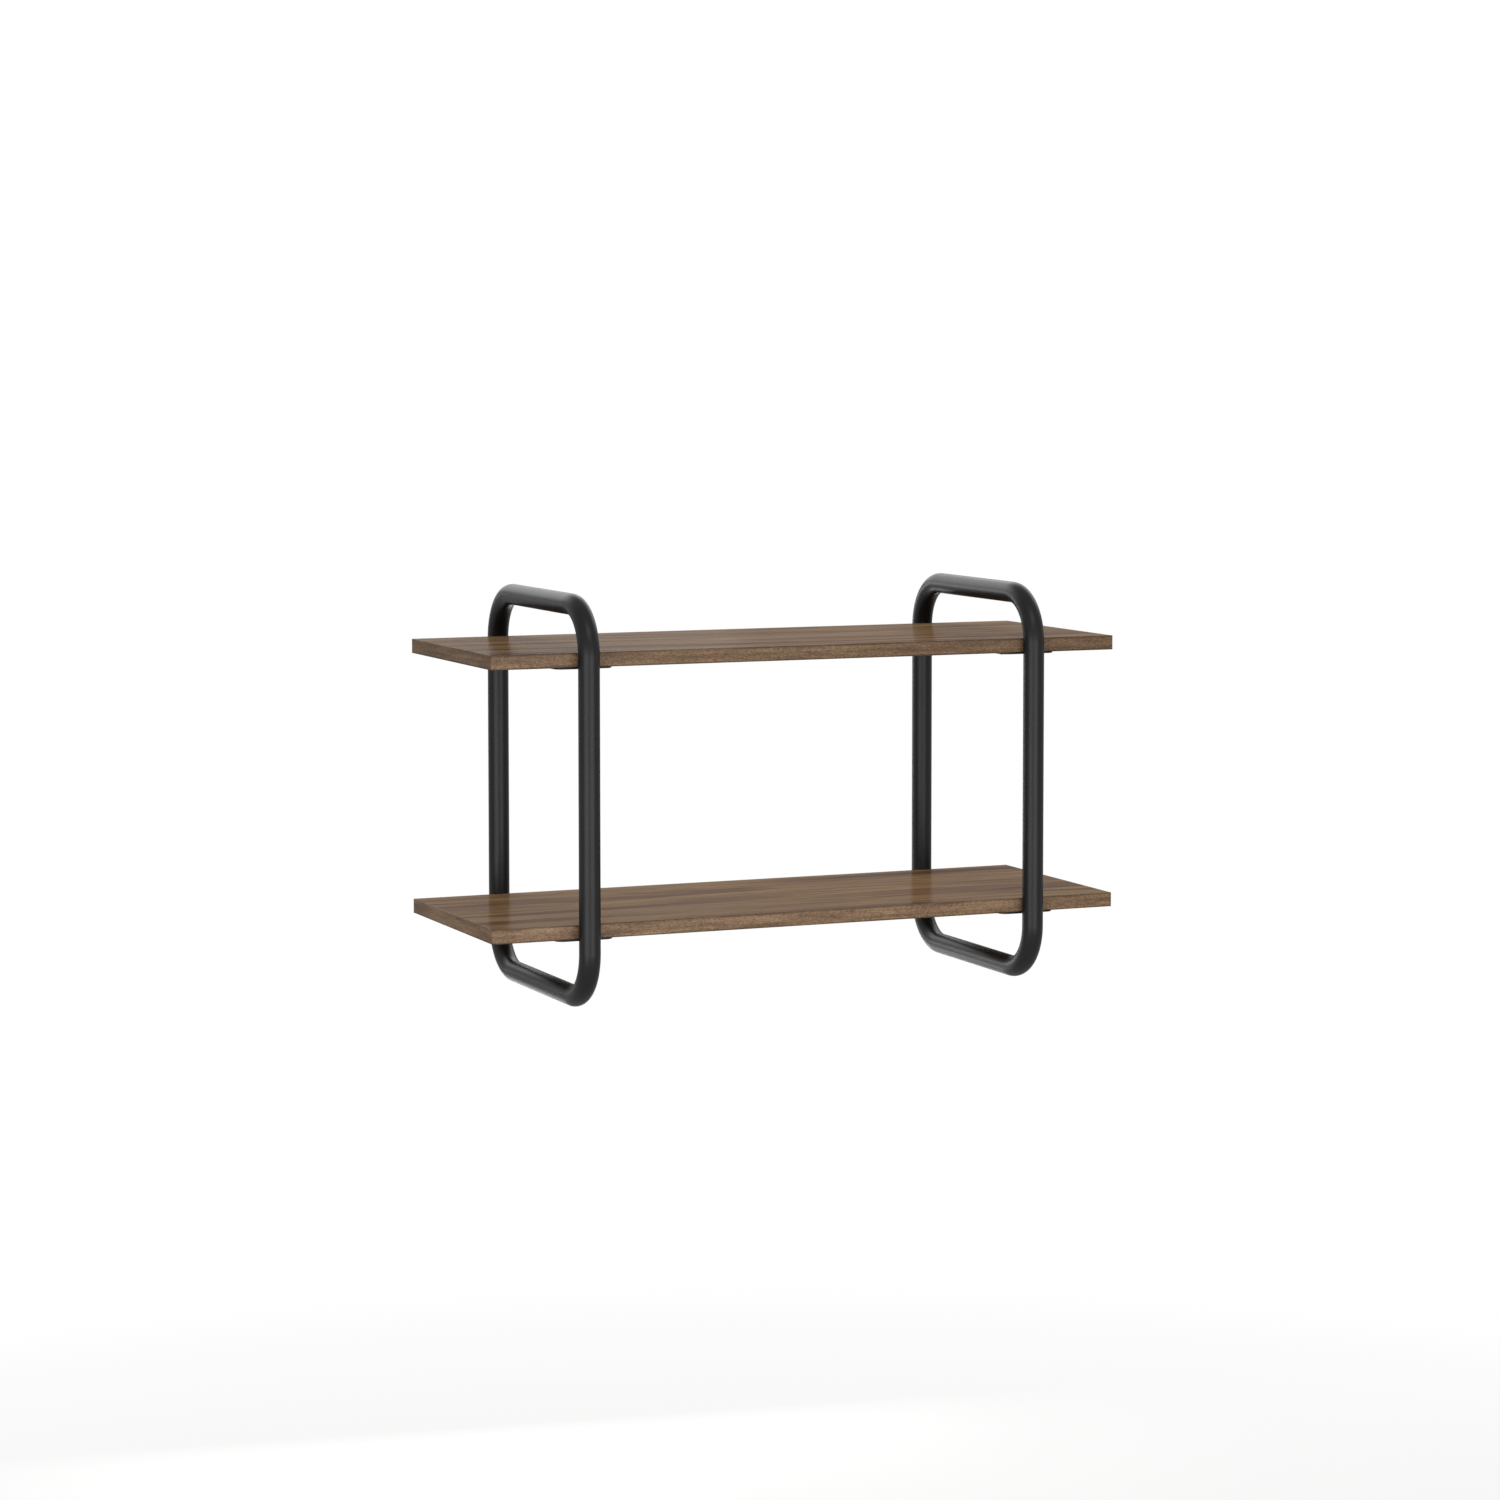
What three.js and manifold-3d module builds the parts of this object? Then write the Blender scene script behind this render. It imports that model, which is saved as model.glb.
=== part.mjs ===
// Wall shelf: two boards carried inside two closed loops of bent steel tube.
// Millimetres, +X to the right along the wall, +Y into the wall, +Z up.
// The origin lies on the wall, midway between the two upper keyholes, at the height where the
// wall screws bear on them.

import * as THREE from 'three';
import { mergeVertices } from 'three/addons/utils/BufferGeometryUtils.js';
import Module from 'manifold-3d';

const wasm = await Module();
wasm.setup();

// ---- Driving dimensions ----------------------------------------------------------------------

// Boards
const boardLength = 700;
const boardDepth = 250;
const boardThickness = 15;
const boardPitch = 275.5; // top face to top face
const bandThickness = 1; // edge band round each board
const bandEase = 0.6; // radius along the band's outer edges
const glueLine = 0.1; // between a board's core and its edge bands

// Tube loops
const tubeDiameter = 22;
const tubeWall = 1.5;
const bendRadius = 50; // on the tube's centre line
const boardOverhang = 100; // end of a board to the loop's centre line
const loopRise = 57.5; // upper board's top face to the top of the loop
const loopDrop = 74; // lower board's underside to the bottom of the loop
const boardClearance = 0.1; // board edge to tube, front and back, where the tube leans in most

// Keyholes in the backs of the rear uprights
const keyholeBelowBoard = 40; // upper board's top face to where the wall screw bears
const keyholePitch = 200; // upper keyhole to lower keyhole
const keyholeEntry = 10; // diameter that the wall screw's head goes through
const keyholeSlot = 5.5; // width that its shank slides up in
const keyholeTravel = 12; // entry centre to slot end's centre

// Support plates, welded to the uprights under the boards
const plateWidth = 62;
const plateDepth = 36;
const plateThickness = 1.5;
const plateCorner = 9;
const weldLength = 13;
const weldLeg = 2.5;
const weldGap = 0.3; // weld bead to the tube's skin

// Pan-head screws that hold the boards down on the plates
const screwMargin = 11; // from the plate's end
const screwSetback = 24; // from the plate's welded edge
const screwDiameter = 3.5;
const screwLength = 12; // under the head
const screwPoint = 3.5;
const screwHeadDiameter = 7;
const screwHeadHeight = 2;
const plateHoleClearance = 0.5; // round the screw in the plate
const pilotClearance = 0.3; // round and beyond the screw in the board

// Facets
const tubeSides = 24;
const bendSteps = 8;
const easeSteps = 3;
const holeSides = 16;
const cornerSteps = 5;
const screwSides = 12;
const headSteps = 4;

// ---- Places that follow from them ------------------------------------------------------------

const tubeRadius = tubeDiameter / 2;
const boreRadius = tubeRadius - tubeWall;
const screwRadius = screwDiameter / 2;
const loopX = boardLength / 2 - boardOverhang;
const screwSpacing = plateWidth - 2 * screwMargin;

// The loop's bends start below the upper board's top face, so the tube leans in over its edges.
const bendOverBoard = bendRadius + tubeRadius - Math.min(loopRise, loopDrop);
const edgeGap = boardClearance + bendLean(bendOverBoard);

const rearUprightY = -tubeRadius;
const boardBackY = rearUprightY - tubeRadius - edgeGap;
const boardMiddleY = boardBackY - boardDepth / 2;
const boardFrontY = boardBackY - boardDepth;
const frontUprightY = boardFrontY - edgeGap - tubeRadius;

const upperBoardTop = keyholeBelowBoard;
const lowerBoardTop = upperBoardTop - boardPitch;
const loopTop = upperBoardTop + loopRise - tubeRadius;
const loopBottom = lowerBoardTop - boardThickness - loopDrop + tubeRadius;

const sides = { left: -1, right: 1 };
const levels = { upper: upperBoardTop, lower: lowerBoardTop };
const ends = {
  front: { weldY: boardFrontY - edgeGap, turn: 0 },
  rear: { weldY: boardBackY + edgeGap, turn: Math.PI },
};
const screwRows = { inner: -1, outer: 1 };

// ---- Materials -------------------------------------------------------------------------------

const powderCoat = new THREE.MeshStandardMaterial({ color: 0x2b2b2c, roughness: 0.5, metalness: 0.3 });
const walnutDecor = new THREE.MeshStandardMaterial({ color: 0x7a6350, roughness: 0.35, metalness: 0 });
const walnutBand = new THREE.MeshStandardMaterial({ color: 0x735c49, roughness: 0.5, metalness: 0 });
const blackenedSteel = new THREE.MeshStandardMaterial({ color: 0x1d1d1f, roughness: 0.4, metalness: 0.7 });

// ---- Shape of a bend -------------------------------------------------------------------------

// How far the inside of a bend, in its facets, has come in at a height above its start.
function bendLean(height) {
  const skinRadius = bendRadius - tubeRadius;
  let lean = 0;
  for (let i = 0; i < bendSteps; i += 1) {
    const [from, to] = [i, i + 1].map((step) => (Math.PI / 2) * step / bendSteps);
    const low = skinRadius * Math.sin(from);
    const share = (height - low) / (skinRadius * Math.sin(to) - low);
    lean += skinRadius * (Math.cos(from) - Math.cos(to)) * THREE.MathUtils.clamp(share, 0, 1);
  }
  return lean;
}

// ---- Solids ----------------------------------------------------------------------------------

function toSolid(geometry) {
  const bare = geometry.clone();
  bare.deleteAttribute('normal');
  bare.deleteAttribute('uv');
  const merged = mergeVertices(bare, 1e-4);
  return new wasm.Manifold(new wasm.Mesh({
    numProp: 3,
    vertProperties: merged.attributes.position.array,
    triVerts: merged.index.array,
  }));
}

function toGeometry(solid) {
  const mesh = solid.getMesh();
  const shared = new THREE.BufferGeometry();
  shared.setAttribute('position', new THREE.BufferAttribute(mesh.vertProperties, 3));
  shared.setIndex(new THREE.BufferAttribute(mesh.triVerts, 1));
  const geometry = shared.toNonIndexed();
  geometry.computeVertexNormals();
  return geometry;
}

// Points along an arc, both ends included.
function arcPoints(x, y, radius, from, to, steps) {
  return Array.from({ length: steps + 1 }, (_, i) => {
    const angle = from + (to - from) * i / steps;
    return new THREE.Vector2(x + radius * Math.cos(angle), y + radius * Math.sin(angle));
  });
}

// A regular polygon whose flats lie on the circle, one of them facing each axis.
function flatsOnCircle(x, y, radius, count) {
  const half = Math.PI / count;
  return arcPoints(x, y, radius / Math.cos(half), half, 2 * Math.PI - half, count - 1);
}

// A flat outline in X and Z pushed along +Y.
function extrudeAlongY(shape, depth) {
  const geometry = new THREE.ExtrudeGeometry(shape, { depth, bevelEnabled: false });
  geometry.rotateX(Math.PI / 2);
  return geometry.translate(0, depth, 0);
}

function addMesh(parent, name, geometry, material, place = [0, 0, 0], turn = 0) {
  const mesh = new THREE.Mesh(geometry, material);
  mesh.name = name;
  mesh.position.set(...place);
  mesh.rotation.z = turn;
  parent.add(mesh);
  return mesh;
}

// ---- Tube loops ------------------------------------------------------------------------------

// Half of a loop's centre line: along the middle of the top bar, down an upright and back along the
// bottom bar. Its parameter counts stations, one at each end of a straight run and bendSteps to a
// bend, so that the straight runs stay whole.
class HalfLoop extends THREE.Curve {
  constructor(uprightY, middleY) {
    super();
    const toMiddle = Math.sign(middleY - uprightY);
    const bendY = uprightY + toMiddle * bendRadius;
    this.stations = [this.station(middleY, loopTop, -toMiddle, 0)];
    for (const [bendZ, start] of [[loopTop - bendRadius, 0], [loopBottom + bendRadius, Math.PI / 2]]) {
      for (let i = 0; i <= bendSteps; i += 1) {
        const angle = start + (Math.PI / 2) * i / bendSteps;
        this.stations.push(this.station(
          bendY - toMiddle * bendRadius * Math.sin(angle),
          bendZ + bendRadius * Math.cos(angle),
          -toMiddle * Math.cos(angle),
          -Math.sin(angle),
        ));
      }
    }
    this.stations.push(this.station(middleY, loopBottom, toMiddle, 0));
  }

  station(y, z, alongY, alongZ) {
    return { point: new THREE.Vector3(0, y, z), tangent: new THREE.Vector3(0, alongY, alongZ) };
  }

  get steps() {
    return this.stations.length - 1;
  }

  getPointAt(u) {
    return this.stations[Math.round(u * this.steps)].point.clone();
  }

  getTangentAt(u) {
    return this.stations[Math.round(u * this.steps)].tangent.clone();
  }
}

function sweptHalf(uprightY, radius) {
  const path = new HalfLoop(uprightY, boardMiddleY);
  const section = new THREE.Shape(flatsOnCircle(0, 0, radius, tubeSides));
  return toSolid(new THREE.ExtrudeGeometry(section, { steps: path.steps, extrudePath: path }));
}

function loopSolid(radius) {
  return sweptHalf(frontUprightY, radius).add(sweptHalf(rearUprightY, radius));
}

// The round entry, and the slot above it that ends round the wall screw's shank at height z.
function keyholeCutter(z) {
  const slotRadius = keyholeSlot / 2;
  const entryZ = -keyholeTravel;
  const shoulder = Math.acos(slotRadius / (keyholeEntry / 2));
  const outline = new THREE.Shape([
    ...arcPoints(0, 0, slotRadius, 0, Math.PI, holeSides / 2),
    ...arcPoints(0, entryZ, keyholeEntry / 2, Math.PI - shoulder, 2 * Math.PI + shoulder, holeSides),
  ]);
  return toSolid(extrudeAlongY(outline, tubeDiameter)).translate(0, rearUprightY, z);
}

function frameTube() {
  const keyholes = keyholeCutter(0).add(keyholeCutter(-keyholePitch));
  return toGeometry(loopSolid(tubeRadius).subtract(loopSolid(boreRadius)).subtract(keyholes));
}

// ---- Support plates --------------------------------------------------------------------------

// Corners of a rounded rectangle that starts at y = 0 and is centred on x = 0.
function roundedOutline(width, depth, radius) {
  const x = width / 2 - radius;
  const quarter = Math.PI / 2;
  return [
    ...arcPoints(x, depth - radius, radius, 0, quarter, cornerSteps),
    ...arcPoints(-x, depth - radius, radius, quarter, 2 * quarter, cornerSteps),
    ...arcPoints(-x, radius, radius, 2 * quarter, 3 * quarter, cornerSteps),
    ...arcPoints(x, radius, radius, 3 * quarter, 4 * quarter, cornerSteps),
  ];
}

// A fillet weld under the plate's edge that also fills the wedges beside the round tube.
function weldBead() {
  const wedge = tubeRadius - Math.sqrt(tubeRadius ** 2 - (weldLength / 2) ** 2);
  const section = new THREE.Shape([
    new THREE.Vector2(-wedge, -plateThickness - weldLeg),
    new THREE.Vector2(0, -plateThickness - weldLeg),
    new THREE.Vector2(weldLeg, -plateThickness),
    new THREE.Vector2(weldLeg, -plateThickness / 2),
    new THREE.Vector2(-wedge, -plateThickness / 2),
  ]);
  const prism = new THREE.ExtrudeGeometry(section, { depth: weldLength, bevelEnabled: false });
  prism.translate(0, 0, -weldLength / 2).rotateY(Math.PI / 2).rotateX(Math.PI / 2);
  const skin = new THREE.Shape(flatsOnCircle(0, -tubeRadius, tubeRadius + weldGap, tubeSides));
  const tube = new THREE.ExtrudeGeometry(skin, { depth: tubeDiameter, bevelEnabled: false });
  tube.translate(0, 0, -tubeRadius - plateThickness);
  return toSolid(prism).subtract(toSolid(tube));
}

// The plate's welded edge is at y = 0 and its top face at z = 0.
function supportPlate() {
  const outline = new THREE.Shape(roundedOutline(plateWidth, plateDepth, plateCorner));
  for (const row of Object.values(screwRows)) {
    outline.holes.push(new THREE.Path(flatsOnCircle(
      row * screwSpacing / 2, screwSetback, screwRadius + plateHoleClearance, holeSides)));
  }
  const blank = new THREE.ExtrudeGeometry(outline, { depth: plateThickness, bevelEnabled: false });
  blank.translate(0, 0, -plateThickness);
  return toGeometry(toSolid(blank).add(weldBead()));
}

// ---- Screws ----------------------------------------------------------------------------------

// Pan head below, shank and point above; the head bears at z = 0.
function panHeadScrew() {
  const headRadius = screwHeadDiameter / 2;
  const dome = arcPoints(0, 0, 1, -Math.PI / 2, 0, headSteps);
  const profile = [
    ...dome.map(({ x, y }) => new THREE.Vector2(x * headRadius, y * screwHeadHeight)),
    new THREE.Vector2(screwRadius, 0),
    new THREE.Vector2(screwRadius, screwLength - screwPoint),
    new THREE.Vector2(0, screwLength),
  ];
  profile[0].x = 0;
  const geometry = new THREE.LatheGeometry(profile, screwSides);
  geometry.rotateX(Math.PI / 2);
  return toGeometry(toSolid(geometry));
}

// ---- Boards ----------------------------------------------------------------------------------

// Core of a board, bored from below for the screws; its top face is at z = 0.
function boardCore() {
  const skin = bandThickness + glueLine;
  const slab = new THREE.BoxGeometry(boardLength - 2 * skin, boardDepth - 2 * skin, boardThickness);
  let solid = toSolid(slab.translate(0, 0, -boardThickness / 2));
  const boreDepth = screwLength - plateThickness + pilotClearance;
  const bore = new THREE.CylinderGeometry(
    screwRadius + pilotClearance, screwRadius + pilotClearance, 2 * boreDepth, holeSides);
  bore.rotateX(Math.PI / 2);
  const drill = toSolid(bore);
  for (const { x, y } of screwPlaces()) {
    solid = solid.subtract(drill.translate(x, y - boardMiddleY, -boardThickness));
  }
  return toGeometry(solid);
}

// Where a board's screws stand, seen from above.
function screwPlaces() {
  const places = [];
  for (const [side, outward] of Object.entries(sides)) {
    for (const [end, { weldY, turn }] of Object.entries(ends)) {
      for (const [row, step] of Object.entries(screwRows)) {
        places.push({
          name: `${side}_${end}_${row}`,
          x: outward * (loopX + step * screwSpacing / 2),
          y: weldY + Math.cos(turn) * screwSetback,
        });
      }
    }
  }
  return places;
}

// An edge band along X with eased outer edges: its outer face is at y = 0 and its top at z = 0.
function edgeBand(length) {
  const low = bandEase - boardThickness;
  const quarter = Math.PI / 2;
  const section = new THREE.Shape([
    new THREE.Vector2(bandThickness, 0),
    ...arcPoints(bandEase, -bandEase, bandEase, quarter, 2 * quarter, easeSteps),
    ...arcPoints(bandEase, low, bandEase, 2 * quarter, 3 * quarter, easeSteps),
    new THREE.Vector2(bandThickness, -boardThickness),
  ]);
  const band = new THREE.ExtrudeGeometry(section, { depth: length, bevelEnabled: false });
  return band.translate(0, 0, -length / 2).rotateY(Math.PI / 2).rotateX(Math.PI / 2);
}

function addBoard(parent, level, top) {
  const board = new THREE.Group();
  board.position.set(0, boardMiddleY, top);
  parent.add(board);
  addMesh(board, `${level}_board_core`, boardCore(), walnutDecor);
  const longBand = edgeBand(boardLength);
  const shortBand = edgeBand(boardDepth - 2 * (bandThickness + glueLine));
  const edges = [
    ['front', longBand, boardDepth / 2, 0],
    ['right', shortBand, boardLength / 2, Math.PI / 2],
    ['back', longBand, boardDepth / 2, Math.PI],
    ['left', shortBand, boardLength / 2, -Math.PI / 2],
  ];
  for (const [edge, band, reach, turn] of edges) {
    const place = [reach * Math.sin(turn), -reach * Math.cos(turn), 0];
    addMesh(board, `${level}_board_${edge}_band`, band, walnutBand, place, turn);
  }
}

// ---- Assembly --------------------------------------------------------------------------------

const shelf = new THREE.Group();

const loop = frameTube();
const plate = supportPlate();
const screw = panHeadScrew();

for (const [side, outward] of Object.entries(sides)) {
  const x = outward * loopX;
  addMesh(shelf, `${side}_frame_tube`, loop, powderCoat, [x, 0, 0]);
  for (const [level, top] of Object.entries(levels)) {
    const underside = top - boardThickness;
    for (const [end, { weldY, turn }] of Object.entries(ends)) {
      addMesh(shelf, `${side}_${level}_${end}_plate`, plate, powderCoat, [x, weldY, underside], turn);
    }
  }
}

for (const [level, top] of Object.entries(levels)) {
  addBoard(shelf, level, top);
  const seat = top - boardThickness - plateThickness;
  for (const { name, x, y } of screwPlaces()) {
    addMesh(shelf, `${level}_${name}_screw`, screw, blackenedSteel, [x, y, seat]);
  }
}

export default shelf;
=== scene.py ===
"""Wall shelf: two walnut-decor boards held in two closed loops of bent, powder-coated steel tube."""

import math

import bmesh
import bpy
from mathutils import Euler, Matrix, Vector


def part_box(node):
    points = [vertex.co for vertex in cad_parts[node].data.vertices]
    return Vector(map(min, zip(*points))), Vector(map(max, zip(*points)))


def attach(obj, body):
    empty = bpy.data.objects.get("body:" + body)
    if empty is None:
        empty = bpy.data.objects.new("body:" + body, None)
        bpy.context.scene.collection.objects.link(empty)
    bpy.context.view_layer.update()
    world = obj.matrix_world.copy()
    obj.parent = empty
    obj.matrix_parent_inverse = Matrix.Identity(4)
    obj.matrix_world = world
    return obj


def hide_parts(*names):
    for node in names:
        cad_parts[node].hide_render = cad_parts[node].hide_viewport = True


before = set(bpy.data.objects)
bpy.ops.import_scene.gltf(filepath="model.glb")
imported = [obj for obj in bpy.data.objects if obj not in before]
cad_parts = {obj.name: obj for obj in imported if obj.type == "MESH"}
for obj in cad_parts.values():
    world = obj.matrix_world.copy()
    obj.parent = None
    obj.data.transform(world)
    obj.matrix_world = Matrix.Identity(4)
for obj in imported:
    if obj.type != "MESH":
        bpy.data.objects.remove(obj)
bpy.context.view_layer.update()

MM = 0.001

SIDES = ("left", "right")
BOARDS = ("upper", "lower")
ROWS = ("inner", "outer")
LONG_EDGES = ("front", "back")
SHORT_EDGES = ("left", "right")

# ---- Sizes the frame gives -------------------------------------------------------------------

tube_low, tube_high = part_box("left_frame_tube")
TUBE_RADIUS = (tube_high.x - tube_low.x) / 2
FRONT_UPRIGHT_Y = tube_low.y + TUBE_RADIUS
REAR_UPRIGHT_Y = tube_high.y - TUBE_RADIUS
TOP_BAR_Z = tube_high.z - TUBE_RADIUS
LOOP_MIDDLE_Y = (tube_low.y + tube_high.y) / 2
LOOP_MIDDLE_Z = (tube_low.z + tube_high.z) / 2

# For the plates at each end: where their welded edge lies, and their turn about Z.
WELDED_EDGES = {
    "front": (FRONT_UPRIGHT_Y + TUBE_RADIUS, 0.0),
    "rear": (REAR_UPRIGHT_Y - TUBE_RADIUS, math.pi),
}

# ---- Sizes that its boxes don't give ---------------------------------------------------------

TUBE_WALL = 1.5 * MM
BEND_RADIUS = 50 * MM
# From the loop's middle to where its straight runs meet its bends.
STRAIGHT_REACH_Y = REAR_UPRIGHT_Y - LOOP_MIDDLE_Y - BEND_RADIUS
STRAIGHT_REACH_Z = TOP_BAR_Z - LOOP_MIDDLE_Z - BEND_RADIUS
KEYHOLE_PITCH = 200 * MM
KEYHOLE_TRAVEL = 12 * MM
KEYHOLE_ENTRY_RADIUS = 5 * MM
KEYHOLE_SLOT_RADIUS = 2.75 * MM

PLATE_WIDTH = 62 * MM
PLATE_DEPTH = 36 * MM
PLATE_THICKNESS = 1.5 * MM
PLATE_CORNER = 9 * MM
PLATE_ROUNDING = 0.25 * MM
SCREW_SPACING = 40 * MM
SCREW_SETBACK = 24 * MM
PLATE_HOLE_RADIUS = 2.25 * MM

WELD_LENGTH = 13 * MM
WELD_RADIUS = 1.6 * MM
WELD_STAND_OFF = 0.6 * MM
WELD_RIPPLE_PITCH = 1.5 * MM
WELD_RIPPLE_DEPTH = 0.12

SCREW_LENGTH = 12 * MM
SCREW_POINT = 3.5 * MM
SCREW_TIP_RADIUS = 0.2 * MM
SCREW_SHANK_RADIUS = 1.75 * MM
SCREW_HEAD_RADIUS = 3.5 * MM
SCREW_HEAD_HEIGHT = 2 * MM
RECESS_REACH = 2 * MM
RECESS_WIDTH = 0.8 * MM
RECESS_DEPTH = 1.2 * MM

BAND_EASE = 0.6 * MM

# How far a cutter runs past the skin that it cuts.
CUT_PAST = 1 * MM

# The calm stretch of the printed roll that the boards are faced with.
ALONG_THE_ROLL = 1700 * MM
INTO_THE_GRAIN = 400 * MM

# The floor lies this far under the shelf, and fades out between two distances from its middle.
FLOOR_DROP = 900 * MM
FLOOR_RADIUS = 3000 * MM
FLOOR_FADE = (600 * MM, 2400 * MM)
FLOOR_WHITE_SHARE = 0.6

# The lens in millimetres, its shift in frame widths, and the camera's place in metres. It is
# turned to the right and tilted down by angles in degrees.
SENSOR_WIDTH = 36
FOCAL_LENGTH = 96.91
LENS_SHIFT = (-0.020, -0.080)
CAMERA_PLACE = (-1.6823, -4.0638, 0.3515)
CAMERA_TURN = 23.47
CAMERA_TILT = 4.08

# ---- How finely the forms are divided --------------------------------------------------------

TUBE_SIDES = 72
BEND_STEPS = 24
ARC_STEPS = 8
EASE_STEPS = 5
HOLE_SIDES = 32
SCREW_SIDES = 40
DOME_STEPS = 10
WELD_STEPS = 54
WELD_SIDES = 20
FLOOR_SIDES = 96

# ---- Materials -------------------------------------------------------------------------------


def linear(hex_colour):
    """An sRGB hex colour as the linear colour that a shader takes."""
    channels = [int(hex_colour[i : i + 2], 16) / 255 for i in (1, 3, 5)]
    curved = [c / 12.92 if c <= 0.04045 else ((c + 0.055) / 1.055) ** 2.4 for c in channels]
    return (*curved, 1.0)


def add(tree, kind, links=(), stops=(), **settings):
    """Adds a node: settings are its own fields, stops its ramp, and links what its sockets take,
    by name or in order: a number, a colour, an output or a whole node."""
    node = tree.nodes.new("ShaderNode" + kind)
    for field, value in settings.items():
        setattr(node, field, value)
    sockets = [socket for socket in node.inputs if socket.enabled]
    if isinstance(links, dict):
        named = {socket.name: socket for socket in sockets}
        sockets, links = [named[name] for name in links], links.values()
    for socket, source in zip(sockets, links):
        if isinstance(source, bpy.types.Node):
            source = next(output for output in source.outputs if output.enabled)
        if isinstance(source, bpy.types.NodeSocket):
            tree.links.new(source, socket)
        else:
            socket.default_value = source
    for number, (position, colour) in enumerate(stops):
        elements = node.color_ramp.elements
        element = elements[number] if number < 2 else elements.new(position)
        element.position = position
        element.color = linear(colour)
    return node


def new_material(name):
    """An empty material's node tree, and the place on the object in metres."""
    material = bpy.data.materials.new(name)
    material.use_nodes = True
    tree = material.node_tree
    tree.nodes.clear()
    return material, tree, add(tree, "TexCoord").outputs["Object"]


def grain_noise(tree, place, size, detail=2.0, roughness=0.5):
    """Noise whose cells have the given size in millimetres along X, Y and Z."""
    stretched = add(tree, "Mapping", {"Vector": place, "Scale": [1 / (MM * s) for s in size]})
    shape = {"Scale": 1.0, "Detail": detail, "Roughness": roughness}
    return add(tree, "TexNoise", {"Vector": stretched, **shape})


def finish_material(tree, colour, levels=(), **sockets):
    """The shader, with its colour made lighter or darker by each of the levels."""
    for level in levels:
        factors = {"Factor": 1.0, "A": colour, "B": level}
        colour = add(tree, "Mix", factors, data_type="RGBA", blend_type="MULTIPLY")
    named = {name.replace("_", " "): value for name, value in sockets.items()}
    shader = add(tree, "BsdfPrincipled", {"Base Color": colour, **named})
    add(tree, "OutputMaterial", {"Surface": shader})


def walnut_decor_laminate():
    """Printed walnut paper under a clear melamine face: soft streaks along the board, thin dark
    heartwood lines, short dark pores, and a weak, nearly sharp mirror at low angles."""
    material, tree, place = new_material("walnut_decor_laminate")

    # The figure wanders sideways as it runs along the board; the two faces of the two boards lie
    # at different heights, so each cuts its own slice of the pattern.
    wander = grain_noise(tree, place, (420, 70, 9), detail=1.0)
    sideways = add(tree, "MapRange", [wander, 0, 1, -20 * MM, 20 * MM])
    shift = add(tree, "CombineXYZ", {"X": ALONG_THE_ROLL, "Y": sideways, "Z": INTO_THE_GRAIN})
    figure = add(tree, "VectorMath", [place, shift], operation="ADD")
    tone = add(
        tree,
        "ValToRGB",
        [grain_noise(tree, figure, (380, 24, 7), detail=4.0, roughness=0.6)],
        stops=[
            (0.33, "#5b4538"),
            (0.43, "#765b45"),
            (0.50, "#86694c"),
            (0.57, "#997b5b"),
            (0.68, "#7e644a"),
        ],
    )
    heartwood = grain_noise(tree, figure, (560, 13, 5), detail=2.0)
    heart_level = add(tree, "MapRange", [heartwood, 0.57, 0.66, 1.0, 0.74])
    sapwood = grain_noise(tree, figure, (90, 7, 5), detail=2.0)
    sap_level = add(tree, "MapRange", [sapwood, 0.58, 0.68, 1.0, 1.14])
    fibres = grain_noise(tree, figure, (24, 0.9, 7), detail=3.0, roughness=0.6)
    fibre_level = add(tree, "MapRange", [fibres, 0.3, 0.7, 0.86, 1.12])
    # Real pores are 0.1 to 0.2 mm wide: these are drawn wider, so that they show.
    pores = grain_noise(tree, figure, (7, 0.35, 7), detail=1.0)
    pore_level = add(tree, "MapRange", [pores, 0.60, 0.72, 1.0, 0.70])
    bump = add(tree, "Bump", {"Height": pore_level, "Strength": 0.3, "Distance": 0.03 * MM})
    finish_material(
        tree,
        tone,
        [heart_level, sap_level, fibre_level, pore_level],
        Roughness=0.6,
        Specular_IOR_Level=0.0,
        Coat_Weight=0.11,
        Coat_Roughness=0.18,
        Coat_IOR=1.5,
        Normal=bump,
    )
    return material


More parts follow.
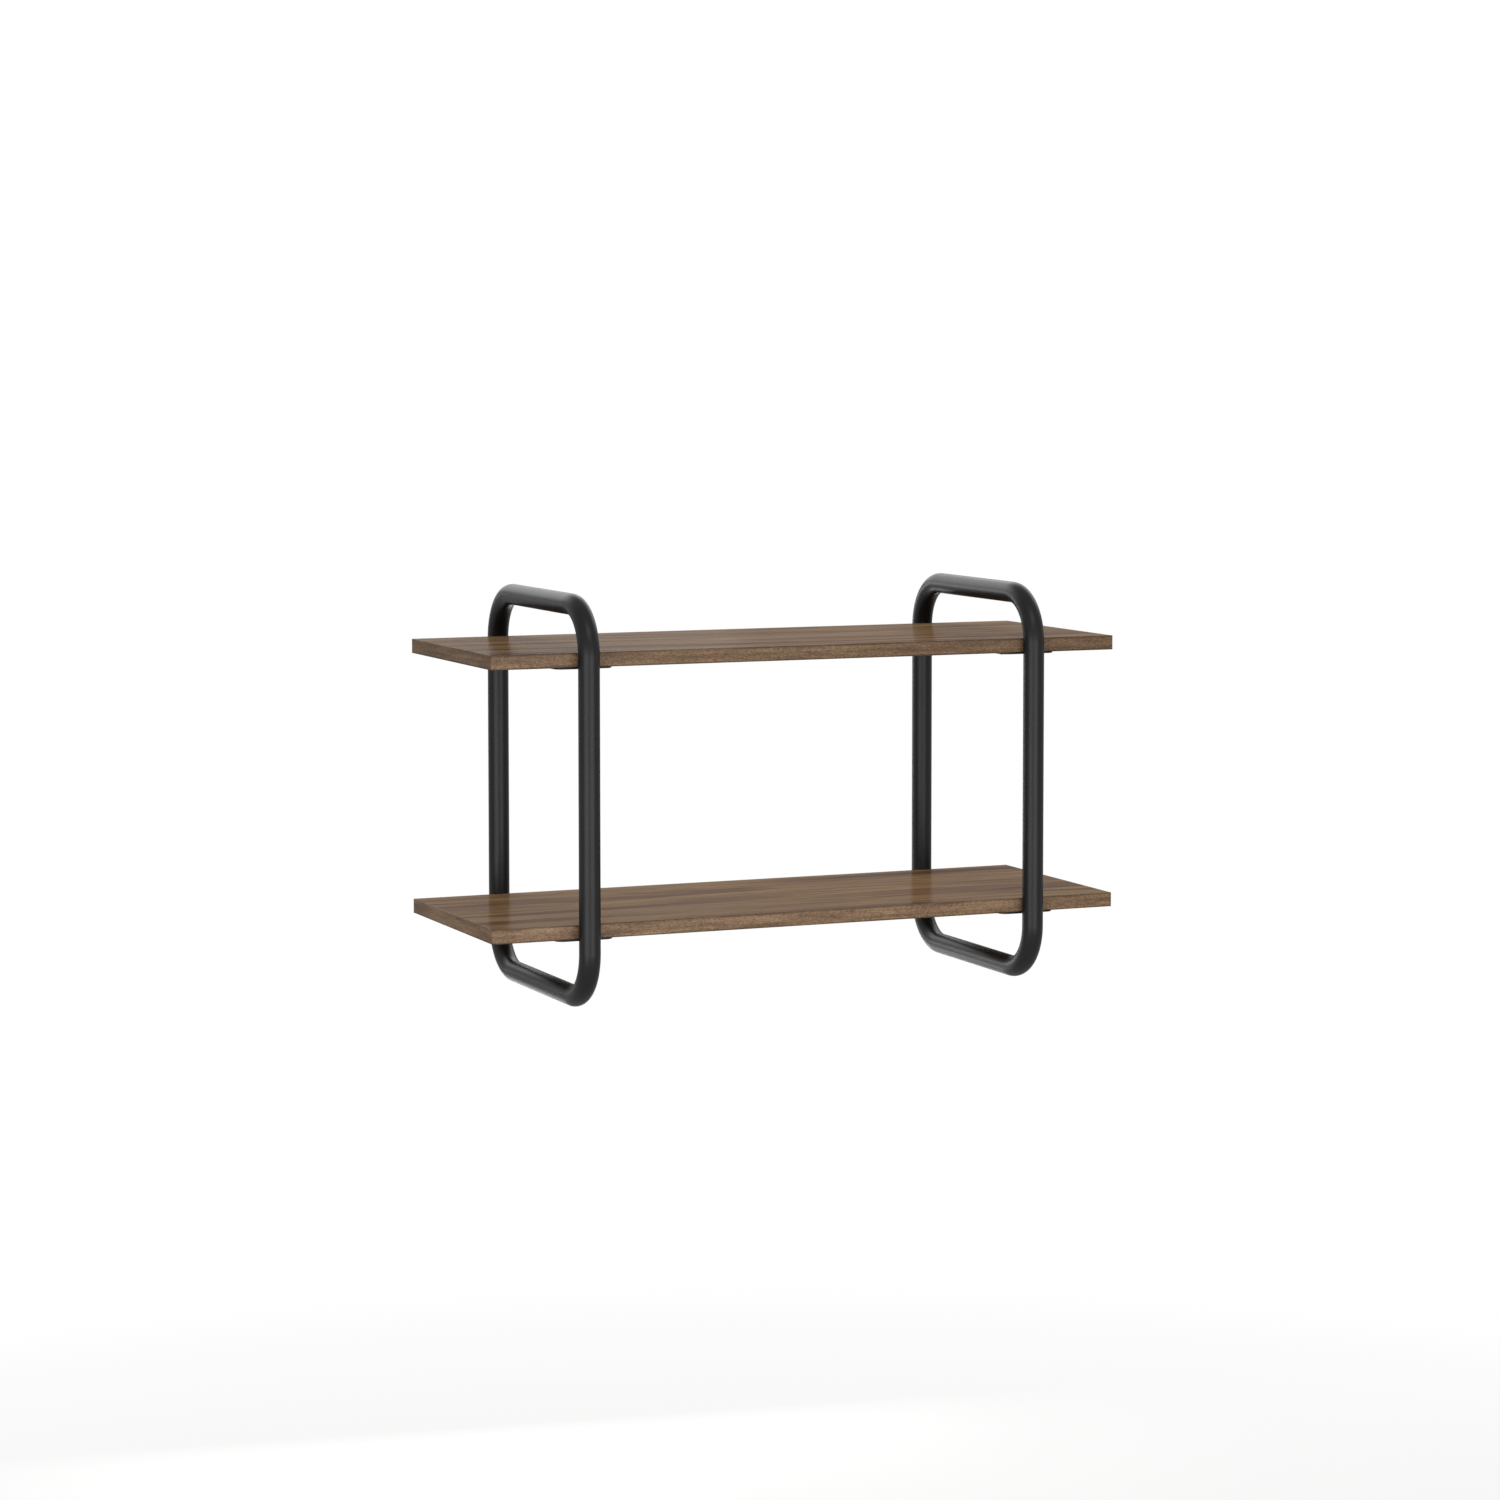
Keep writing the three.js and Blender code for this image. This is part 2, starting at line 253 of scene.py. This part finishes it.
def walnut_edge_band(name, run, top_line):
    """Extruded plastic edging printed to match: shorter, more mottled grain along the band, and thin
    dark lines drawn along its bottom and, fainter, its top."""
    material, tree, place = new_material(name)

    def sized(along, across):
        return (along, across, across) if run == "x" else (across, along, across)

    tone = add(
        tree,
        "ValToRGB",
        [grain_noise(tree, place, sized(70, 4.5), detail=5.0, roughness=0.65)],
        stops=[
            (0.32, "#6a5442"),
            (0.45, "#7a624c"),
            (0.55, "#876d55"),
            (0.68, "#957b62"),
        ],
    )
    mottle = grain_noise(tree, place, sized(2.4, 1.1), detail=2.0, roughness=0.6)
    mottle_level = add(tree, "MapRange", [mottle, 0.32, 0.68, 0.64, 1.34])
    # The ticks stand for its printed pores, and are drawn wider too.
    ticks = grain_noise(tree, place, sized(5, 0.7), detail=1.0)
    tick_level = add(tree, "MapRange", [ticks, 0.58, 0.70, 1.0, 0.68])
    # The height is a share of the band's 15 mm.
    height = add(tree, "SeparateXYZ", [add(tree, "TexCoord").outputs["Generated"]]).outputs["Z"]
    raggedness = add(tree, "MapRange", [mottle, 0, 1, -0.05, 0.05])
    ragged = add(tree, "Math", [height, raggedness], operation="ADD")
    low_arris_level = add(tree, "MapRange", [height, 0.04, 0.12, 0.42, 1.0])
    high_arris_level = add(tree, "MapRange", [ragged, 0.86, 0.93, 1.0, top_line])
    # The upper board's bands are drawn darker than the lower board's: painted shade, because the
    # lower board's edges are lit more. Neither board lies near the height where the one changes to
    # the other.
    up = add(tree, "SeparateXYZ", [place]).outputs["Z"]
    low, high = LOOP_MIDDLE_Z - 50 * MM, LOOP_MIDDLE_Z + 50 * MM
    upper_board_painted_shade = add(tree, "MapRange", [up, low, high, 1.0, 0.84])
    bump = add(tree, "Bump", {"Height": mottle, "Strength": 0.2, "Distance": 0.03 * MM})
    finish_material(
        tree,
        tone,
        [mottle_level, tick_level, upper_board_painted_shade, low_arris_level, high_arris_level],
        Roughness=0.6,
        Specular_IOR_Level=0.0,
        Coat_Weight=0.14,
        Coat_Roughness=0.3,
        Coat_IOR=1.5,
        Normal=bump,
    )
    return material


def satin_powder_coat(name):
    """Sprayed polyester powder, baked on steel: near black, a fine orange peel, a satin gloss."""
    material, tree, place = new_material(name)
    mottle = grain_noise(tree, place, (30, 30, 30), detail=3.0)
    colour = add(tree, "ValToRGB", [mottle], stops=[(0.3, "#101011"), (0.7, "#151516")])
    peel = grain_noise(tree, place, (1.6, 1.6, 1.6))
    bump = add(tree, "Bump", {"Height": peel, "Strength": 0.2, "Distance": 0.05 * MM})
    finish_material(
        tree,
        colour,
        Roughness=0.5,
        Specular_IOR_Level=0.0,
        Coat_Weight=0.4,
        Coat_Roughness=0.36,
        Coat_IOR=1.5,
        Normal=bump,
    )
    return material


def black_oxide_steel():
    """Hardened steel with a thin black oxide skin: dark, metallic, worn brighter in patches."""
    material, tree, place = new_material("black_oxide_steel")
    wear = grain_noise(tree, place, (1.2, 1.2, 1.2), detail=4.0)
    colour = add(tree, "ValToRGB", [wear], stops=[(0.4, "#2b2a2a"), (0.75, "#4a4848")])
    rough = add(tree, "MapRange", [wear, 0.3, 0.7, 0.38, 0.52])
    finish_material(tree, colour, Metallic=1.0, Roughness=rough)
    return material


# ---- Mesh helpers ----------------------------------------------------------------------------


def arc_points(x, y, radius, start, end, steps):
    """Points along an arc, both ends included."""
    angles = [start + (end - start) * i / steps for i in range(steps + 1)]
    return [(x + radius * math.cos(a), y + radius * math.sin(a)) for a in angles]


def new_piece(name, mesh, material):
    piece = bpy.data.objects.new(name, mesh)
    bpy.context.scene.collection.objects.link(piece)
    mesh.materials.clear()
    mesh.materials.append(material)
    return piece


def rings_mesh(name, rings, closed):
    """Quads between rings of points; open rings get an end cap each."""
    sides = len(rings[0])
    points = [point for ring in rings for point in ring]
    count = len(rings) if closed else len(rings) - 1
    faces = []
    for i in range(count):
        here, there = i * sides, (i + 1) % len(rings) * sides
        for j in range(sides):
            k = (j + 1) % sides
            faces.append((here + j, here + k, there + k, there + j))
    if not closed:
        faces.append(tuple(reversed(range(sides))))
        faces.append(tuple(range(len(points) - sides, len(points))))
    mesh = bpy.data.meshes.new(name)
    mesh.from_pydata(points, [], faces)
    return mesh


def prism_mesh(name, outline, y_from, y_to):
    """A flat outline in X and Z pushed along Y."""
    rings = [[(x, y, z) for x, z in outline] for y in (y_to, y_from)]
    return rings_mesh(name, rings, closed=False)


def outward(mesh):
    """The mesh with its faces turned out and matching points joined."""
    form = bmesh.new()
    form.from_mesh(mesh)
    bmesh.ops.remove_doubles(form, verts=form.verts, dist=0.001 * MM)
    bmesh.ops.recalc_face_normals(form, faces=form.faces)
    form.to_mesh(mesh)
    form.free()
    return mesh


def shaped(piece):
    """The piece's mesh with its modifiers worked in."""
    graph = bpy.context.evaluated_depsgraph_get()
    mesh = bpy.data.meshes.new_from_object(piece.evaluated_get(graph))
    piece.modifiers.clear()
    return mesh


def cut_away(name, body, tools):
    """The body's mesh less the tools' meshes."""
    blank = bpy.data.objects.new(name + "_blank", body)
    bpy.context.scene.collection.objects.link(blank)
    helpers = []
    for tool in tools:
        helper = bpy.data.objects.new(name + "_tool", tool)
        bpy.context.scene.collection.objects.link(helper)
        cut = blank.modifiers.new("cut", "BOOLEAN")
        cut.object = helper
        cut.operation = "DIFFERENCE"
        cut.solver = "EXACT"
        helpers.append(helper)
    mesh = outward(shaped(blank))
    for done in [blank, *helpers]:
        bpy.data.objects.remove(done)
    mesh.name = name
    return mesh


def smooth(mesh, sharp_degrees=40):
    mesh.shade_smooth()
    mesh.set_sharp_from_angle(angle=math.radians(sharp_degrees))
    return mesh


def placed(mesh, name, place, turn=0.0):
    """A copy of the mesh turned about Z and moved, so that its own points hold its place."""
    copy = mesh.copy()
    copy.name = name
    copy.transform(Matrix.Translation(place) @ Matrix.Rotation(turn, 4, "Z"))
    return copy


def stands_for(piece, node):
    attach(piece, "root")
    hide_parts(node)


# ---- Tube loops ------------------------------------------------------------------------------


def loop_rings(radius):
    """Rings round a loop's centre line, on x = 0: a ring at each end of a straight run."""
    corners = [(1, 1), (-1, 1), (-1, -1), (1, -1)]
    rings = []
    for number, (side_y, side_z) in enumerate(corners):
        centre_y = LOOP_MIDDLE_Y + side_y * STRAIGHT_REACH_Y
        centre_z = LOOP_MIDDLE_Z + side_z * STRAIGHT_REACH_Z
        for step in range(BEND_STEPS + 1):
            angle = math.pi / 2 * (number + step / BEND_STEPS)
            away = Vector((0, math.cos(angle), math.sin(angle)))
            middle = Vector((0, centre_y, centre_z)) + away * BEND_RADIUS
            rings.append(
                [
                    middle + Vector((x, 0, 0)) + away * across
                    for x, across in arc_points(0, 0, radius, 0, 2 * math.pi, TUBE_SIDES)[:-1]
                ]
            )
    return rings


def from_centre_line(point):
    """The direction straight out of the tube's centre line to a point near it."""
    y, z = point.y - LOOP_MIDDLE_Y, point.z - LOOP_MIDDLE_Z
    inner_y = min(max(y, -STRAIGHT_REACH_Y), STRAIGHT_REACH_Y)
    inner_z = min(max(z, -STRAIGHT_REACH_Z), STRAIGHT_REACH_Z)
    inner = Vector((0, inner_y, inner_z))
    away = (Vector((0, y, z)) - inner).normalized()
    return (Vector((point.x, y, z)) - inner - away * BEND_RADIUS).normalized()


def round_tube_shading(mesh):
    """Shades the skins of the tube as truly round, and leaves the keyholes' walls flat. A face
    that looks straight out of or into the tube, within 30 degrees, is skin."""
    least_facing = math.cos(math.radians(30))
    mesh.shade_smooth()
    normals = [Vector()] * len(mesh.loops)
    for face in mesh.polygons:
        for corner in face.loop_indices:
            radial = from_centre_line(mesh.vertices[mesh.loops[corner].vertex_index].co)
            facing = radial.dot(face.normal)
            if abs(facing) > least_facing:
                normals[corner] = radial * math.copysign(1, facing)
            else:
                normals[corner] = face.normal.copy()
    mesh.normals_split_custom_set(normals)
    return mesh


def keyhole_cutter(z):
    """The round entry and the slot above it, whose round end is centred on z, through the wall
    side of the rear upright."""
    shoulder = math.acos(KEYHOLE_SLOT_RADIUS / KEYHOLE_ENTRY_RADIUS)
    outline = [
        *arc_points(0, z, KEYHOLE_SLOT_RADIUS, 0, math.pi, 2 * ARC_STEPS),
        *arc_points(
            0,
            z - KEYHOLE_TRAVEL,
            KEYHOLE_ENTRY_RADIUS,
            math.pi - shoulder,
            2 * math.pi + shoulder,
            3 * ARC_STEPS,
        ),
    ]
    return outward(prism_mesh("keyhole", outline, REAR_UPRIGHT_Y, CUT_PAST))


def loop_mesh():
    skin = rings_mesh("skin", loop_rings(TUBE_RADIUS), closed=True)
    bore = rings_mesh("bore", loop_rings(TUBE_RADIUS - TUBE_WALL), closed=True)
    tools = [outward(bore), keyhole_cutter(0), keyhole_cutter(-KEYHOLE_PITCH)]
    return round_tube_shading(cut_away("loop", outward(skin), tools))


# ---- Support plates, welds and screws --------------------------------------------------------


def closed_spline(curve, points):
    spline = curve.splines.new("POLY")
    spline.points.add(len(points) - 1)
    for target, (x, y) in zip(spline.points, points):
        target.co = (x, y, 0, 1)
    spline.use_cyclic_u = True


def plate_mesh():
    """A punched plate with softened edges: its welded edge at y = 0 and its top face at z = 0."""
    curve = bpy.data.curves.new("plate", "CURVE")
    curve.dimensions = "2D"
    curve.fill_mode = "BOTH"
    curve.extrude = PLATE_THICKNESS / 2 - PLATE_ROUNDING
    curve.bevel_depth = PLATE_ROUNDING
    curve.bevel_resolution = 2
    curve.offset = -PLATE_ROUNDING
    side, quarter = PLATE_WIDTH / 2 - PLATE_CORNER, math.pi / 2
    near, far = PLATE_CORNER, PLATE_DEPTH - PLATE_CORNER
    outline = []
    for number, (x, y) in enumerate([(side, far), (-side, far), (-side, near), (side, near)]):
        start = number * quarter
        outline += arc_points(x, y, PLATE_CORNER, start, start + quarter, 2 * ARC_STEPS)
    closed_spline(curve, outline)
    for step in (-1, 1):
        x = step * SCREW_SPACING / 2
        hole = arc_points(x, SCREW_SETBACK, PLATE_HOLE_RADIUS, 0, 2 * math.pi, HOLE_SIDES)
        closed_spline(curve, hole[:-1])
    sketch = bpy.data.objects.new("plate_sketch", curve)
    bpy.context.scene.collection.objects.link(sketch)
    mesh = outward(shaped(sketch))
    bpy.data.objects.remove(sketch)
    mesh.transform(Matrix.Translation((0, 0, -PLATE_THICKNESS / 2)))
    return smooth(mesh)


def weld_mesh():
    """A rippled bead that follows the tube's skin under the plate's edge."""
    reach = math.asin(WELD_LENGTH / 2 / TUBE_RADIUS)
    tube_middle = Vector((0, -TUBE_RADIUS, -PLATE_THICKNESS))
    rings = []
    for step in range(WELD_STEPS + 1):
        share = 2 * step / WELD_STEPS - 1
        angle = share * reach
        run = angle * TUBE_RADIUS
        crest = abs(math.sin(math.pi * run / WELD_RIPPLE_PITCH))
        ripple = 1 - WELD_RIPPLE_DEPTH + WELD_RIPPLE_DEPTH * crest
        # The bead keeps its width for most of its length and rounds off at its ends.
        taper = math.sqrt(max(1 - share**6, 0.02))
        radius = WELD_RADIUS * taper * ripple
        away = Vector((math.sin(angle), math.cos(angle), 0))
        middle = tube_middle + away * (TUBE_RADIUS + WELD_STAND_OFF)
        rings.append(
            [
                middle + away * across + Vector((0, 0, up))
                for across, up in arc_points(0, 0, radius, 0, 2 * math.pi, WELD_SIDES)[:-1]
            ]
        )
    return smooth(outward(rings_mesh("weld", rings, closed=False)), 75)


def screw_mesh():
    """Pan-head screw with a cross recess: the head bears at z = 0 and the shank stands above."""
    dome = arc_points(0, 0, 1, -math.pi / 2, 0, DOME_STEPS)[1:]
    profile = [(x * SCREW_HEAD_RADIUS, y * SCREW_HEAD_HEIGHT) for x, y in dome]
    profile += [
        (SCREW_SHANK_RADIUS, 0),
        (SCREW_SHANK_RADIUS, SCREW_LENGTH - SCREW_POINT),
        (SCREW_TIP_RADIUS, SCREW_LENGTH),
    ]
    around = arc_points(0, 0, 1, 0, 2 * math.pi, SCREW_SIDES)[:-1]
    rings = [[(radius * x, radius * y, z) for x, y in around] for radius, z in profile]
    blank = outward(rings_mesh("screw", rings, closed=False))
    half = RECESS_WIDTH / 2
    low, high = -SCREW_HEAD_HEIGHT - CUT_PAST, RECESS_DEPTH - SCREW_HEAD_HEIGHT
    outline = [
        (-RECESS_REACH, low),
        (RECESS_REACH, low),
        (RECESS_REACH / 2, high),
        (-RECESS_REACH / 2, high),
    ]
    cutters = []
    for turn in (0, math.pi / 2):
        wing = outward(prism_mesh("recess", outline, -half, half))
        wing.transform(Matrix.Rotation(turn, 4, "Z"))
        cutters.append(wing)
    return smooth(cut_away("screw", blank, cutters), 35)


# ---- Edge bands ------------------------------------------------------------------------------


def band_mesh(name, low, high, open_side):
    """A band's box with its outer edges eased; open_side points from the band to its board."""
    form = bmesh.new()
    bmesh.ops.create_cube(form, size=1)
    size, middle = high - low, (high + low) / 2
    bmesh.ops.scale(form, vec=size, verts=form.verts)
    bmesh.ops.translate(form, vec=middle, verts=form.verts)
    eased = [
        edge
        for edge in form.edges
        if all((vert.co - middle).dot(open_side) < 0 for vert in edge.verts)
    ]
    bmesh.ops.bevel(
        form, geom=eased, offset=BAND_EASE, segments=EASE_STEPS, profile=0.5, affect="EDGES"
    )
    mesh = bpy.data.meshes.new(name)
    form.to_mesh(mesh)
    form.free()
    return smooth(mesh)


# ---- Making the pieces -----------------------------------------------------------------------


def middle_of(node):
    """The middle of a node's box."""
    low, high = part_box(node)
    return (low + high) / 2


def make_loops(coat):
    mesh = loop_mesh()
    for side in SIDES:
        node = f"{side}_frame_tube"
        name = f"{side}_bent_tube"
        piece = new_piece(name, placed(mesh, name, (middle_of(node).x, 0, 0)), coat)
        stands_for(piece, node)


def make_plates(coat):
    plate, weld = plate_mesh(), weld_mesh()
    for board in BOARDS:
        for side in SIDES:
            for end, (welded_y, turn) in WELDED_EDGES.items():
                node = f"{side}_{board}_{end}_plate"
                place = (middle_of(node).x, welded_y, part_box(node)[1].z)
                for part, mesh in (("punched_plate", plate), ("weld_bead", weld)):
                    name = f"{side}_{board}_{end}_{part}"
                    piece = new_piece(name, placed(mesh, name, place, turn), coat)
                    stands_for(piece, node)


def make_screws(steel):
    mesh = screw_mesh()
    for board in BOARDS:
        for side in SIDES:
            for end in WELDED_EDGES:
                for row in ROWS:
                    node = f"{board}_{side}_{end}_{row}_screw"
                    middle, crown = middle_of(node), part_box(node)[0].z
                    place = (middle.x, middle.y, crown + SCREW_HEAD_HEIGHT)
                    name = f"{board}_{side}_{end}_{row}_pan_head_screw"
                    piece = new_piece(name, placed(mesh, name, place), steel)
                    stands_for(piece, node)


def make_boards(decor, long_band, short_band):
    for board in BOARDS:
        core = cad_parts[f"{board}_board_core"]
        core.data.materials.clear()
        core.data.materials.append(decor)
        for edge in LONG_EDGES + SHORT_EDGES:
            node = f"{board}_board_{edge}_band"
            inward = middle_of(f"{board}_board_core") - middle_of(node)
            long = edge in LONG_EDGES
            open_side = Vector((0, inward.y, 0)) if long else Vector((inward.x, 0, 0))
            name = f"{board}_board_{edge}_edging"
            mesh = band_mesh(name, *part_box(node), open_side.normalized())
            piece = new_piece(name, mesh, long_band if long else short_band)
            level_faces = piece.modifiers.new("level_faces", "WEIGHTED_NORMAL")
            level_faces.keep_sharp = True
            stands_for(piece, node)


# ---- Studio ----------------------------------------------------------------------------------


def softbox(name, place, target, size, glow, grid=180):
    """A rectangular lamp, whose grid narrows its light to an angle in degrees. Seen from straight
    ahead, a glow of 1 is as bright as the white backdrop."""
    lamp = bpy.data.lights.new(name, "AREA")
    lamp.shape = "RECTANGLE"
    lamp.size, lamp.size_y = size
    half = math.radians(grid) / 2
    lamp.spread = 2 * half
    # The narrower the spread, the less energy gives the same glow.
    lamp.energy = glow * math.pi * size[0] * size[1] * (1 - half / math.tan(half))
    stand = bpy.data.objects.new(name, lamp)
    bpy.context.scene.collection.objects.link(stand)
    stand.location = place
    away = Vector(place) - Vector(target)
    stand.rotation_euler = away.to_track_quat("Z", "Y").to_euler()


def make_lights():
    # Each softbox's name, place and size in metres, and glow.
    round_the_shelf = [
        ("left_softbox", (-1.68, -1.54, -0.34), (1.6, 0.85), 4.4),
        ("front_softbox", (0.11, -2.33, -0.34), (1.6, 0.85), 4.3),
        ("high_front_softbox", (-0.30, -1.82, 1.59), (1.4, 0.8), 3.0),
        ("rear_left_softbox", (-0.08, 1.79, 0.92), (2.0, 1.2), 3.5),
        ("rear_right_softbox", (1.45, 1.09, 0.99), (2.0, 0.95), 3.2),
        ("low_rear_softbox", (0.26, 1.56, -0.91), (1.38, 0.4), 5.3),
    ]
    for name, place, size, glow in round_the_shelf:
        softbox(name, place, (0, LOOP_MIDDLE_Y, LOOP_MIDDLE_Z), size, glow)
    # The grid narrows this one to the right loop and the ends of the boards there.
    right_loop = middle_of("right_frame_tube")
    softbox("rear_grid_softbox", (-0.75, 2.35, -0.17), right_loop, (0.5, 1.0), 14.0, grid=20)


def seen_ray(tree):
    """1 for what the camera, a glossy face or a clear one sees, 0 for what lights the shelf."""
    path = add(tree, "LightPath").outputs
    clear = add(
        tree,
        "Math",
        [path["Is Glossy Ray"], path["Is Transmission Ray"]],
        operation="MAXIMUM",
    )
    return add(tree, "Math", [path["Is Camera Ray"], clear], operation="MAXIMUM")


def make_backdrop():
    """White to look at and in gloss, a mid grey in what it lights."""
    world = bpy.data.worlds.new("white_studio")
    bpy.context.scene.world = world
    world.use_nodes = True
    tree = world.node_tree
    tree.nodes.clear()
    shade = add(
        tree,
        "Mix",
        {"Factor": seen_ray(tree), "A": linear("#7c7c7c"), "B": linear("#ffffff")},
        data_type="RGBA",
    )
    add(tree, "OutputWorld", {"Surface": add(tree, "Background", {"Color": shade})})


def make_floor():
    """A pale floor that keeps the shelf's shadow, melts into the white backdrop away from it, and
    is clear from below."""
    form = bmesh.new()
    bmesh.ops.create_circle(form, cap_ends=True, radius=FLOOR_RADIUS, segments=FLOOR_SIDES)
    mesh = bpy.data.meshes.new("studio_floor")
    form.to_mesh(mesh)
    form.free()
    material, tree, place = new_material("pale_matt_paper")
    paper = add(tree, "BsdfDiffuse", {"Color": linear("#f0efed")})
    white = add(tree, "Emission", {"Color": linear("#ffffff"), "Strength": 1.0})
    share = add(tree, "Math", [seen_ray(tree), FLOOR_WHITE_SHARE], operation="MULTIPLY")
    lit = add(tree, "MixShader", [share, paper, white])
    reach = add(tree, "VectorMath", [place], operation="LENGTH").outputs["Value"]
    away = add(tree, "MapRange", [reach, *FLOOR_FADE, 0, 1])
    below = add(tree, "NewGeometry").outputs["Backfacing"]
    clear = add(tree, "Math", [away, below], operation="MAXIMUM")
    surface = add(tree, "MixShader", [clear, lit, add(tree, "BsdfTransparent")])
    add(tree, "OutputMaterial", {"Surface": surface})
    floor = new_piece("studio_floor", mesh, material)
    floor.location = (0, LOOP_MIDDLE_Y, tube_low.z - FLOOR_DROP)


def make_camera():
    lens = bpy.data.cameras.new("camera")
    lens.sensor_width = SENSOR_WIDTH
    lens.lens = FOCAL_LENGTH
    lens.shift_x, lens.shift_y = LENS_SHIFT
    camera = bpy.data.objects.new("camera", lens)
    bpy.context.scene.collection.objects.link(camera)
    camera.location = CAMERA_PLACE
    pitch, yaw = math.radians(90 - CAMERA_TILT), math.radians(-CAMERA_TURN)
    camera.rotation_euler = Euler((pitch, 0, yaw))
    bpy.context.scene.camera = camera


make_camera()
make_loops(satin_powder_coat("satin_black_powder_coat"))
make_plates(satin_powder_coat("satin_black_powder_coat_on_plate"))
make_screws(black_oxide_steel())
make_boards(
    walnut_decor_laminate(),
    walnut_edge_band("walnut_print_edging_long", run="x", top_line=0.66),
    walnut_edge_band("walnut_print_edging_short", run="y", top_line=0.88),
)
make_lights()
make_backdrop()
make_floor()
bpy.context.scene.view_settings.view_transform = "Standard"
